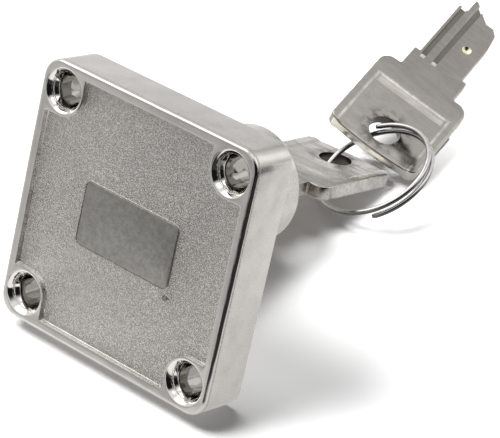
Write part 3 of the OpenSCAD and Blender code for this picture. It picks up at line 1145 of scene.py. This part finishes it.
@dataclass
class Key:
    """A key whose coined edges are round, with brass where the blank was cut.

    A key's own frame runs from its crowned end to its tip, across it, and
    out of its upper face. Its lengths are in millimetres, and its shares say
    how much of the rounding an edge gets.
    """

    node: str
    hole: Array
    lengthwise: Array
    sideways: Array
    brass_end: bool
    nickel: Colour = (0.470, 0.445, 0.415)
    edge: float = 0.34
    segments: int = 4
    hole_share: float = 0.35
    tip_share: float = 0.6
    tip_cut_share: float = 0.3
    blade_share: float = 0.55
    groove_share: float = 0.15
    face_depth: float = 0.3
    thickness: float = 2.3
    hole_at: float = 4.6
    hole_r: float = 2.6
    bow_half: float = 8.3
    crown: float = 0.7
    panel_to: float = 13.5
    panel_half: float = 6.9
    panel_depth: float = 0.25
    shoulder_w: float = 1.5
    border_slope_w: float = 0.7
    crease_angle: float = 4.0
    crease_height: float = 0.8
    crown_margin: float = 0.38
    hole_margin: float = 0.3
    blade_from: float = 17.9
    blade_end: float = 35.3
    blade_w: float = 8.3
    tip_cut_from: float = 1.5
    dimple_at: tuple[float, float] = (28.1, -1.6)
    dimple_r: float = 0.8
    dimple_height: float = 0.5
    tip_facing: float = 0.2
    tip_reach: float = 0.5
    tip_bare_from: float = -2.9
    end_facing: float = 0.9
    end_reach: float = 1.2
    play: float = 0.1
    cut_play: float = 1e-4

    @property
    def outwards(self) -> Array:
        """The direction out of the key's upper face."""
        return np.cross(self.lengthwise, self.sideways)

    def own(self, points: Array) -> Array:
        """Carries points of the scene, in metres, into the key's frame, in millimetres."""
        axes = np.stack([self.lengthwise, self.sideways, self.outwards])
        return (points - self.hole) / MM @ axes.T + [self.hole_at, 0, 0]

    def build(self) -> bpy.types.Object:
        """Makes the key from its node, marks the bare brass and dresses it.

        Returns:
            The key.
        """
        made = softened_copy(self.node, self.edge, self.segments, self.weigh, self.raise_borders)
        self.crease_panel(made.data)
        self.mark_bare(made.data)
        KeyNickel(f"{self.node} nickel", self).shader().dress(made)
        return made

    def weigh(self, edge: bmesh.types.BMEdge) -> float:
        """Gives an edge's share of the rounding: full on the bow, little in the grooves.

        Args:
            edge: The edge.

        Returns:
            Its share.
        """
        along, across, height = self.own(middle_of(edge))
        on_face = abs(height) > self.thickness / 2 - self.face_depth
        if math.hypot(along - self.hole_at, across) < self.hole_r + self.play:
            return self.hole_share if on_face else 0.0
        if along < self.blade_from + 2 * self.play:
            return 1.0
        if along > self.blade_end - self.play:
            return self.tip_share if across < self.tip_cut_from else self.tip_cut_share
        if abs(across) > self.blade_w / 2 - 2 * self.play:
            return self.blade_share
        return self.groove_share if on_face else 0.0

    def raise_borders(self, skin: bmesh.types.BMesh) -> None:
        """Raises the bow's two long borders on both faces beside its pressed panel.

        The faces are cut along the foot and the head of each border's slope.
        A point then lies under the blank's face by the panel's depth, less
        the share that the border's or the shoulder's slope has given back:
        its distance up the slope over the slope's width, from 0 to 1.

        Args:
            skin: The key's joined skin.
        """
        foot = self.panel_half - self.border_slope_w
        bow_end = self.panel_to + self.play
        for at in (-self.panel_half, -foot, foot, self.panel_half):
            on_bow = [
                face for face in skin.faces
                if self.own(np.array([v.co for v in face.verts]))[:, 0].max() < bow_end
            ]
            parts = {part for face in on_bow for part in (face, *face.edges, *face.verts)}
            spot = Vector(self.hole + self.sideways * at * MM)
            bmesh.ops.bisect_plane(
                skin,
                geom=list(parts),
                dist=self.cut_play * MM,
                plane_co=spot,
                plane_no=Vector(self.sideways),
            )
        along, across, height = self.own(np.array([vertex.co for vertex in skin.verts])).T
        under = self.thickness / 2 - np.abs(height)
        border = (np.abs(across) - foot) / self.border_slope_w
        shoulder = 1 + (along - self.panel_to) / self.shoulder_w
        kept = 1 - np.clip(np.maximum(border, shoulder), 0.0, 1.0)
        pressed = (along <= self.panel_to) & (under <= self.panel_depth + self.play / 5)
        rise = np.where(pressed, np.copysign(under - self.panel_depth * kept, height), 0.0)
        for vertex, shift in zip(skin.verts, rise[:, None] * self.outwards * MM):
            vertex.co += Vector(shift)

    def crease_panel(self, mesh: bpy.types.Mesh) -> None:
        """Keeps the low creases of the bow's pressed panel crisp.

        Args:
            mesh: The key's mesh.
        """
        near = self.play / 2
        skin = bmesh.new()
        skin.from_mesh(mesh)
        for edge in skin.edges:
            if edge.calc_face_angle(0.0) < math.radians(self.crease_angle):
                continue
            along, across, height = self.own(np.array([v.co for v in edge.verts])).T
            aside = np.abs(across)
            inside = along > self.crown * (across / self.bow_half) ** 2 + self.crown_margin
            inside &= (along < self.panel_to + near) & (aside < self.panel_half + near)
            inside &= np.hypot(along - self.hole_at, across) > self.hole_r + self.hole_margin
            if inside.all() and (np.abs(height) > self.crease_height).all():
                edge.smooth = False
        skin.to_mesh(mesh)
        skin.free()

    def mark_bare(self, mesh: bpy.types.Mesh) -> None:
        """Writes an attribute that is 1 on the faces that show brass.

        A face is bare where its middle lies in the dimple, on the ends cut
        at the tip or, on a key sheared from strip, on its crowned end.

        Args:
            mesh: The key's mesh.
        """
        count = len(mesh.polygons)
        middles, normals = np.empty(3 * count), np.empty(3 * count)
        mesh.polygons.foreach_get("center", middles)
        mesh.polygons.foreach_get("normal", normals)
        along, across, height = self.own(middles.reshape(-1, 3)).T
        end_on = normals.reshape(-1, 3) @ self.lengthwise
        from_dimple = np.hypot(along - self.dimple_at[0], across - self.dimple_at[1])
        face = self.thickness / 2 - self.play / 10
        bare = (from_dimple < self.dimple_r) & (height > self.dimple_height) & (height < face)
        at_tip = (along > self.blade_end - self.tip_reach) & (across > self.tip_bare_from)
        bare |= (end_on > self.tip_facing) & at_tip
        if self.brass_end:
            bare |= (end_on < -self.end_facing) & (along < self.end_reach)
        attribute = mesh.attributes.new("bare", "FLOAT", "FACE")
        attribute.data.foreach_set("value", bare.astype(np.float32))


@dataclass
class SplitRing:
    """The ring of spring wire that carries the keys.

    Its lengths are in millimetres and its angles in degrees. The wire passes
    the first key's hole at one of its angles, a little inside its circle.
    """

    radius: float = 9.22
    pitch: float = 1.28
    turns: float = 1.5
    wire: float = 0.85
    end_round: float = 0.12
    end_share: float = 0.72
    turned: Triple = (21.04, 8.06, -54.51)
    hole_at: float = 239.5
    hole_inset: float = 0.875
    hole_side: float = -0.142
    # Painted shade on the wire's downward side.
    painted_underside_shade: Colour = (0.12, 0.115, 0.11)
    painted_underside_span: Span = (0.1, 0.85)
    sides: int = 20
    steps: int = 150
    crease: float = 40.0

    def path(self, angles: Array, radius: float) -> Array:
        """Gives the middle of the wire: a circle that climbs steadily with its angle.

        Args:
            angles: The angles, in degrees.
            radius: The circle's radius.

        Returns:
            Rows of x, y and z in the ring's own frame, in millimetres.
        """
        height = self.pitch * (angles / 360 - self.turns / 2)
        turn = np.radians(angles)
        return np.stack([radius * np.cos(turn), radius * np.sin(turn), height], axis=-1)

    def matrix(self) -> Array:
        """Gives the ring's attitude: its turns about x, y and z, one after another."""
        x, y, z = (Matrix.Rotation(math.radians(v), 3, a) for v, a in zip(self.turned, "XYZ"))
        return np.array(z @ y @ x)

    def skin(self) -> Array:
        """Gives the wire's skin, as rows round its path, with its two end points last.

        A point of the skin is the path's point plus the wire's radius times
        the cosine of one angle outwards and its sine along the ring's axis;
        towards each end the wire's radius draws in over a short round.

        Returns:
            Rows of x, y and z in the ring's own frame, in millimetres.
        """
        angles = np.linspace(0, 360 * self.turns, self.steps)
        middle = self.path(angles, self.radius)
        along = np.gradient(middle, axis=0)
        along /= np.linalg.norm(along, axis=1, keepdims=True)
        out = middle * [1, 1, 0]
        out /= np.linalg.norm(out, axis=1, keepdims=True)
        side = np.cross(along, out)
        arc = np.radians(angles) * self.radius
        from_end = np.clip(np.minimum(arc, arc[-1] - arc) / self.end_round, 0, 1)
        draw = np.sqrt(np.clip(1 - (1 - from_end) ** 2, 0.0, 1))
        thick = self.wire / 2 * (self.end_share + (1 - self.end_share) * draw)
        turn = np.linspace(0, 2 * math.pi, self.sides, endpoint=False)
        rows = middle[:, None] + thick[:, None, None] * (
            np.cos(turn)[None, :, None] * out[:, None] + np.sin(turn)[None, :, None] * side[:, None]
        )
        return np.concatenate([rows.reshape(-1, 3), middle[[0, -1]]])

    def build(self) -> bpy.types.Object:
        """Puts the wire's skin where the keys' holes are, and dresses it.

        Returns:
            The ring.
        """
        hole = self.path(np.array([self.hole_at]), self.radius - self.hole_inset)[0]
        hole[2] += self.hole_side
        points = (self.skin() - hole) @ self.matrix().T * MM + joint_place("ring_swing")
        i, k = np.meshgrid(np.arange(self.steps - 1), np.arange(self.sides), indexing="ij")
        here, after = i * self.sides, (i + 1) * self.sides
        n = (k + 1) % self.sides
        quads = np.stack([here + k, here + n, after + n, after + k], axis=-1)
        made = new_object("split_ring", points, quads.reshape(-1, 4))
        self.cap(made)
        smooth(made, self.crease)
        self.shader().dress(made)
        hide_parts("key_ring")
        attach(made, "ring")
        return made

    def cap(self, made: bpy.types.Object) -> None:
        """Closes the wire's two ends with fans and turns the skin outwards.

        Args:
            made: The ring.
        """
        skin = bmesh.new()
        skin.from_mesh(made.data)
        skin.verts.ensure_lookup_table()
        rows = (0, (self.steps - 1) * self.sides)
        centres = (len(skin.verts) - 2, len(skin.verts) - 1)
        for first, centre in zip(rows, centres):
            for k in range(self.sides):
                n = (k + 1) % self.sides
                skin.faces.new([skin.verts[first + k], skin.verts[first + n], skin.verts[centre]])
        bmesh.ops.recalc_face_normals(skin, faces=skin.faces)
        skin.to_mesh(made.data)
        skin.free()

    def shader(self) -> Shader:
        """Builds the ring's steel, with painted shade where it faces down.

        Returns:
            The shader.
        """
        made = Finish.RING.value.shader()
        colour = made.surface.inputs["Base Color"]
        unshaded = next(link.from_socket for link in colour.links)
        parts = made.node("ShaderNodeSeparateXYZ")
        made.feed(parts.inputs[0], made.normal())
        # Painted shade: the wire darkens where it faces down.
        under = made.ramp(parts.outputs["Z"], self.painted_underside_span, (1.0, 0.0))
        made.feed(colour, made.blend(under, unshaded, self.painted_underside_shade))
        return made


@dataclass
class Cylinder:
    """The cylinder housing with its plug, and the mechanism behind them."""

    housing_edge: float = 0.12
    segments: int = 2
    plain_nodes: dict[str, Finish] = field(
        default_factory=lambda: {
            "flange_rivets": Finish.RIVET,
            "plug": Finish.PLUG,
            "drive_cam": Finish.CAM,
            "cam_screw": Finish.RIVET,
            "bolt": Finish.BOLT,
            **{f"wafer_{i}": Finish.WAFER for i in range(1, 6)},
            **{f"wafer_spring_{i}": Finish.SPRING for i in range(1, 6)},
        }
    )

    def build(self) -> list[bpy.types.Object]:
        """Softens the housing and dresses the other nodes.

        Returns:
            The pieces.
        """
        housing = softened_copy("barrel_housing", self.housing_edge, self.segments)
        Finish.HOUSING.value.shader().dress(housing)
        shaders = {finish: finish.value.shader() for finish in set(self.plain_nodes.values())}
        pieces = [housing]
        for node, finish in self.plain_nodes.items():
            shaders[finish].dress(bpy.data.objects[node])
            pieces.append(bpy.data.objects[node])
        return pieces


def key_in_lock() -> Key:
    """Gives the key in the cylinder, its blade towards the case.

    Returns:
        The key.
    """
    hole = joint_place("ring_swing")
    # Painted light: this key's nickel is a brighter copy of the spare's, for the light on its top
    # face.
    lit_nickel = (0.60, 0.575, 0.545)
    return Key("key_in_lock", hole, -LOCK.out, LOCK.across, brass_end=False, nickel=lit_nickel)


def spare_key() -> Key:
    """Gives the spare key, lying on the table beside the first.

    Returns:
        The key.
    """
    lengthwise = np.array([-0.1461, 0.9793, 0.1401])
    sideways = np.array([-0.8855, -0.1926, 0.4229])
    return Key("spare_key", joint_place("spare_key_swing"), lengthwise, sideways, brass_end=True)


# The studio


@dataclass(frozen=True)
class Shade:
    """A dark wall or a softbox of the studio, as the metal sees it.

    The cosines to its direction say where it ends and where it is full.
    """

    towards: Triple
    outer: float
    inner: float
    depth: float


@dataclass(frozen=True)
class TableShade:
    """A dark part of the room beyond the table, as the metal sees it on the table.

    It grows from near to far along its direction, in millimetres, and leaves
    a share of the table's white.
    """

    towards: Triple
    near: float
    far: float
    left: float


@dataclass(frozen=True)
class SoftLamp:
    """A square soft lamp: its place and side in millimetres, and its power in watts."""

    name: str
    place: Triple
    side: float
    watts: float


@dataclass(frozen=True)
class SpotLamp:
    """A narrow lamp that lights one patch of the table.

    Its place, target and softness are in millimetres, its cone's full angle
    in degrees and its power in watts.
    """

    name: str
    place: Triple
    target: Triple
    cone: float
    softness: float
    watts: float


@dataclass(frozen=True)
class Studio:
    """A white table under a white sky, with soft lamps and a long lens.

    Its lengths are in millimetres and its angles in degrees.
    """

    shades: tuple[Shade, ...] = (
        Shade((0.85, -0.50, 0.08), 0.45, 0.80, 0.99),
        Shade((-0.54, -0.84, -0.08), 0.55, 0.93, 0.44),
        Shade((-0.19, 0.925, 0.33), 0.985, 0.996, 0.45),
    )
    softboxes: tuple[Shade, ...] = (
        Shade((-0.54, -0.07, 0.83), 0.88, 0.95, 1.2),
        Shade((0.35, 0.90, 0.26), 0.965, 0.99, 0.5),
        Shade((0.30, 0.14, 0.94), 0.965, 0.985, 0.7),
        Shade((0.62, 0.60, 0.50), 0.95, 0.98, 0.6),
    )
    table_shades: tuple[TableShade, ...] = (
        TableShade((-0.54, -0.84, 0.0), 20.0, 60.0, 0.62),
        TableShade((0.85, -0.50, 0.0), 34.0, 64.0, 0.03),
    )
    lamps: tuple[SoftLamp, ...] = (
        SoftLamp("left lamp", (-600, -350, 1350), 640, 27.0),
        SoftLamp("back lamp", (-400, 560, 1380), 600, 12.0),
    )
    fill: SpotLamp = SpotLamp("fill spot", (420, 260, 900), (7, 74, -18.7), 2.8, 12, 48.0)

    table_half: float = 4000.0
    table_white: float = 0.97
    table_rough: float = 0.7
    table_specular: float = 0.1
    table_shine: float = 0.95
    table_evenness: float = 0.65
    table_light: float = 1.6
    sky_shine: float = 0.78
    sky: float = 0.17

    lens: float = 191.63
    sensor: float = 36.0
    view_from: float = 10.0
    view_to: float = 20000.0
    aim: Triple = (13.61, 11.006, -1.264)
    distance: float = 381.3
    azimuth: float = 41.953
    elevation: float = 35.85
    roll: float = -0.898

    def build(self) -> None:
        """Makes the camera, table, sky and lamps."""
        self.camera()
        self.table()
        self.world()
        for lamp in self.lamps:
            self.soft_lamp(lamp)
        self.spot_lamp(self.fill)
        bpy.context.scene.view_settings.view_transform = "Standard"

    def camera(self) -> None:
        """Puts the camera where the photograph was taken from."""
        a, e, r = (math.radians(v) for v in (self.azimuth, self.elevation, self.roll))
        back = Vector((math.sin(a) * math.cos(e), -math.cos(a) * math.cos(e), math.sin(e)))
        level = Vector((math.cos(a), math.sin(a), 0))
        upright = level.cross(-back)
        right = level * math.cos(r) + upright * math.sin(r)
        up = right.cross(-back)
        data = bpy.data.cameras.new("camera")
        data.lens = self.lens
        data.sensor_width = self.sensor
        data.clip_start, data.clip_end = self.view_from * MM, self.view_to * MM
        camera = bpy.data.objects.new("camera", data)
        turn = Matrix((right, up, back)).transposed().to_4x4()
        spot = Vector(self.aim) * MM + back * self.distance * MM
        camera.matrix_world = Matrix.Translation(spot) @ turn
        bpy.context.scene.collection.objects.link(camera)
        bpy.context.scene.camera = camera

    def table(self) -> None:
        """Lays the white table under the lowest point of the part.

        What shines of it in the metal is painted: its white, less the shares of a painted dark room
        beyond it, and partly a painted glow that is even, so its shadows show softer there.
        """
        half = self.table_half * MM
        signs = np.array([[-1, -1], [1, -1], [1, 1], [-1, 1]])
        corners = np.column_stack([half * signs, np.full(4, CAD_LOW.z)])
        table = new_object("table", corners, np.array([[0, 1, 2, 3]]))
        made = Shader("table")
        shine: Value = self.table_shine
        for shade in self.table_shades:
            away = made.along(unit(shade.towards))
            shine = made.product(shine, made.ramp(away, (shade.near, shade.far), (1.0, shade.left)))
        glossy = made.node("ShaderNodeLightPath").outputs["Is Glossy Ray"]
        lit = made.product(shine, (1.0 - self.table_evenness) / self.table_light)
        white = made.node("ShaderNodeCombineColor")
        for channel in white.inputs[:3]:
            made.feed(channel, made.ramp(glossy, (0.0, 1.0), (self.table_white, lit)))
        surface = made.surface.inputs
        made.feed(surface["Base Color"], white.outputs[0])
        # Painted glow: the table gives off light only in the metal's reflections.
        surface["Emission Color"].default_value = (1, 1, 1, 1)
        even = made.product(shine, self.table_evenness)
        made.feed(surface["Emission Strength"], made.product(glossy, even))
        surface["Roughness"].default_value = self.table_rough
        surface["Specular IOR Level"].default_value = self.table_specular
        made.dress(table)

    def world(self) -> None:
        """Gives a white sky to the camera, and a studio's light and dark walls to the metal.

        What shines in the metal is the sky's white, less a share round each
        of the shades and more round each of the softboxes: a smooth step of
        the cosine to its direction.
        """
        world = bpy.data.worlds.new("sky")
        world.use_nodes = True
        bpy.context.scene.world = world
        sky = Graph(world.node_tree, "Generated")
        shine: Value = self.sky_shine
        for shade in self.shades:
            near = sky.along(unit(shade.towards), 1.0)
            left = sky.ramp(near, (shade.outer, shade.inner), (1.0, 1.0 - shade.depth))
            shine = sky.product(shine, left)
        for box in self.softboxes:
            near = sky.along(unit(box.towards), 1.0)
            more = sky.ramp(near, (box.outer, box.inner), (0.0, box.depth))
            shine = sky.maths("ADD", shine, more)
        path = sky.node("ShaderNodeLightPath").outputs
        clear = sky.maths("MAXIMUM", path["Is Camera Ray"], path["Is Transmission Ray"])
        plain = sky.ramp(clear, (0.0, 1.0), (self.sky, 1.0))
        seen = sky.node("ShaderNodeMix", data_type="FLOAT")
        for key, value in (("Factor", path["Is Glossy Ray"]), ("A", plain), ("B", shine)):
            sky.feed(seen.inputs[key], value)
        light = sky.node("ShaderNodeBackground")
        sky.feed(light.inputs["Strength"], seen.outputs["Result"])
        light.inputs["Color"].default_value = (1, 1, 1, 1)
        output = sky.node("ShaderNodeOutputWorld")
        sky.feed(output.inputs["Surface"], light.outputs[0])

    def soft_lamp(self, lamp: SoftLamp) -> None:
        """Hangs a soft lamp that points at the part.

        Args:
            lamp: The lamp.
        """
        data = bpy.data.lights.new(lamp.name, "AREA")
        data.size = lamp.side * MM
        data.energy = lamp.watts
        self.hang(data, lamp.place, self.aim)

    def spot_lamp(self, lamp: SpotLamp) -> None:
        """Lights the table's small patch beside the spare key, where no shadow shows.

        Args:
            lamp: The lamp.
        """
        data = bpy.data.lights.new(lamp.name, "SPOT")
        data.energy = lamp.watts
        data.spot_size = math.radians(lamp.cone)
        data.spot_blend = 1.0
        data.shadow_soft_size = lamp.softness * MM
        self.hang(data, lamp.place, lamp.target)

    def hang(self, data: bpy.types.Light, place: Triple, target: Triple) -> None:
        """Hangs a lamp that lights the table and doesn't shine in the metal.

        Args:
            data: The lamp's data.
            place: Where it hangs.
            target: What it points at.
        """
        lamp = bpy.data.objects.new(data.name, data)
        lamp.location = Vector(place) * MM
        lamp.visible_glossy = False
        aim = Vector(target) * MM - lamp.location
        lamp.rotation_euler = aim.to_track_quat("-Z", "Y").to_euler()
        bpy.context.scene.collection.objects.link(lamp)


def main() -> None:
    """Builds the pieces in order, then the studio round them."""
    logging.basicConfig(level=logging.INFO)
    pieces: list[bpy.types.Object] = [CaseShell().build()]
    pieces += Cylinder().build()
    pieces += [key_in_lock().build(), spare_key().build(), SplitRing().build()]
    for piece in pieces:
        LOG.info("%s: %d faces", piece.name, len(piece.data.polygons))
    Studio().build()


if __name__ == "__main__":
    main()
